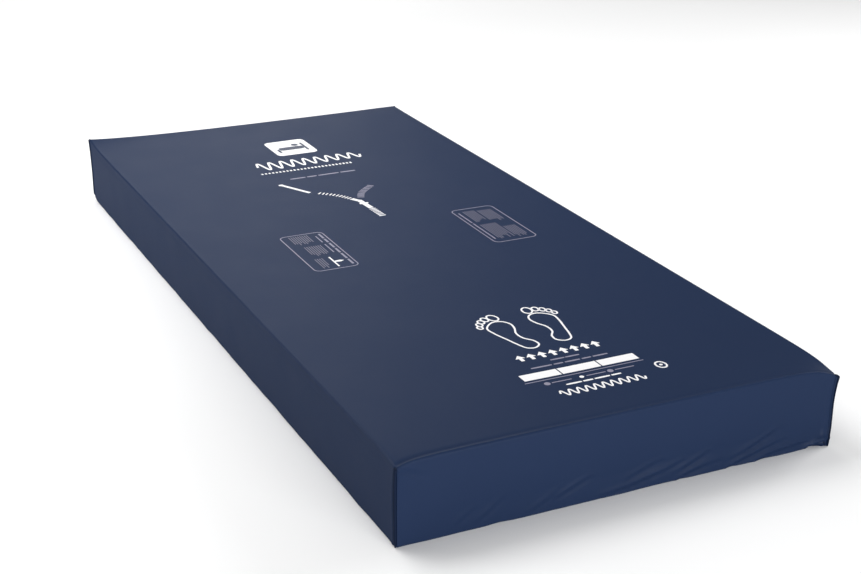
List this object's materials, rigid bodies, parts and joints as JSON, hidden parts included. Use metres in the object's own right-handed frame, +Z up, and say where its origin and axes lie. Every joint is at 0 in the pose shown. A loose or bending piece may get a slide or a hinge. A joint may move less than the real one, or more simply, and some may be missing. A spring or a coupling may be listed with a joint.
{
  "type": "pressure relief mattress",
  "caption": "Flat rectangular hospital mattress: a zoned foam core in a navy coated-fabric cover, with flaps that hang over a zip.",
  "frame": {"origin": "middle of the underside of the cover", "axes": "+X towards the foot end (the head end is -X), +Y towards the right long side, +Z up"},
  "size_m": [1.98, 0.88, 0.156],
  "materials": {
    "cover_fabric": "navy stretch knit with a soft-sheen polyurethane coating",
    "base_fabric": "dark navy coated woven base fabric, matt",
    "seam_cord": "welded and corded seam of the cover fabric",
    "zip_tape": "woven polyester tape",
    "zip_teeth": "moulded, satin",
    "zip_metal": "nickel-plated zinc",
    "fire_barrier": "off-white knitted sock",
    "firm_foam": "cut face of firm polyurethane foam",
    "support_foam": "cut face of polyurethane foam",
    "soft_foam": "cut face of soft viscoelastic foam"
  },
  "bodies": {
    "mattress": {"top_cover": "cover_fabric", "base_cover": "base_fabric", "corner_seam_head_left": "seam_cord", "corner_seam_head_right": "seam_cord", "corner_seam_foot_left": "seam_cord", "corner_seam_foot_right": "seam_cord", "zip_tape_upper": "zip_tape", "zip_tape_lower": "zip_tape", "zip_teeth_upper": "zip_teeth", "zip_teeth_lower": "zip_teeth", "zip_top_stops": "zip_metal", "zip_bottom_stop": "zip_metal", "fire_barrier_sock": "fire_barrier", "base_foam": "firm_foam", "bolster_left": "firm_foam", "bolster_right": "firm_foam", "support_foam": "support_foam", "head_zone_foam": "soft_foam", "body_zone_foam": "soft_foam", "heel_zone_foam": "soft_foam"},
    "flap_left": {"flap_left": "cover_fabric"},
    "flap_right": {"flap_right": "cover_fabric"},
    "flap_foot": {"flap_foot": "cover_fabric"},
    "slider": {"zip_slider": "zip_metal", "zip_rivet": "zip_metal"},
    "pull_tab": {"zip_pull": "zip_metal"}
  },
  "joints": [
    {"name": "flap_left_fold", "type": "hinge", "parent": "mattress", "child": "flap_left", "pos_m": [0, -0.44, 0.0505], "axis": [-1, 0, 0], "range_deg": [0, 150]},
    {"name": "flap_right_fold", "type": "hinge", "parent": "mattress", "child": "flap_right", "pos_m": [0, 0.44, 0.0505], "axis": [1, 0, 0], "range_deg": [0, 150]},
    {"name": "flap_foot_fold", "type": "hinge", "parent": "mattress", "child": "flap_foot", "pos_m": [0.99, 0, 0.0505], "axis": [0, -1, 0], "range_deg": [0, 150]},
    {"name": "zip_run", "type": "slide", "parent": "mattress", "child": "slider", "axis": [1, 0, 0], "range_m": [0, 1.75], "deforming": ["zip_teeth_upper", "zip_teeth_lower"]},
    {"name": "pull_swing", "type": "hinge", "parent": "slider", "child": "pull_tab", "pos_m": [-0.896, -0.4346, 0.032], "axis": [0, 1, 0], "range_deg": [-75, 75]}
  ]
}
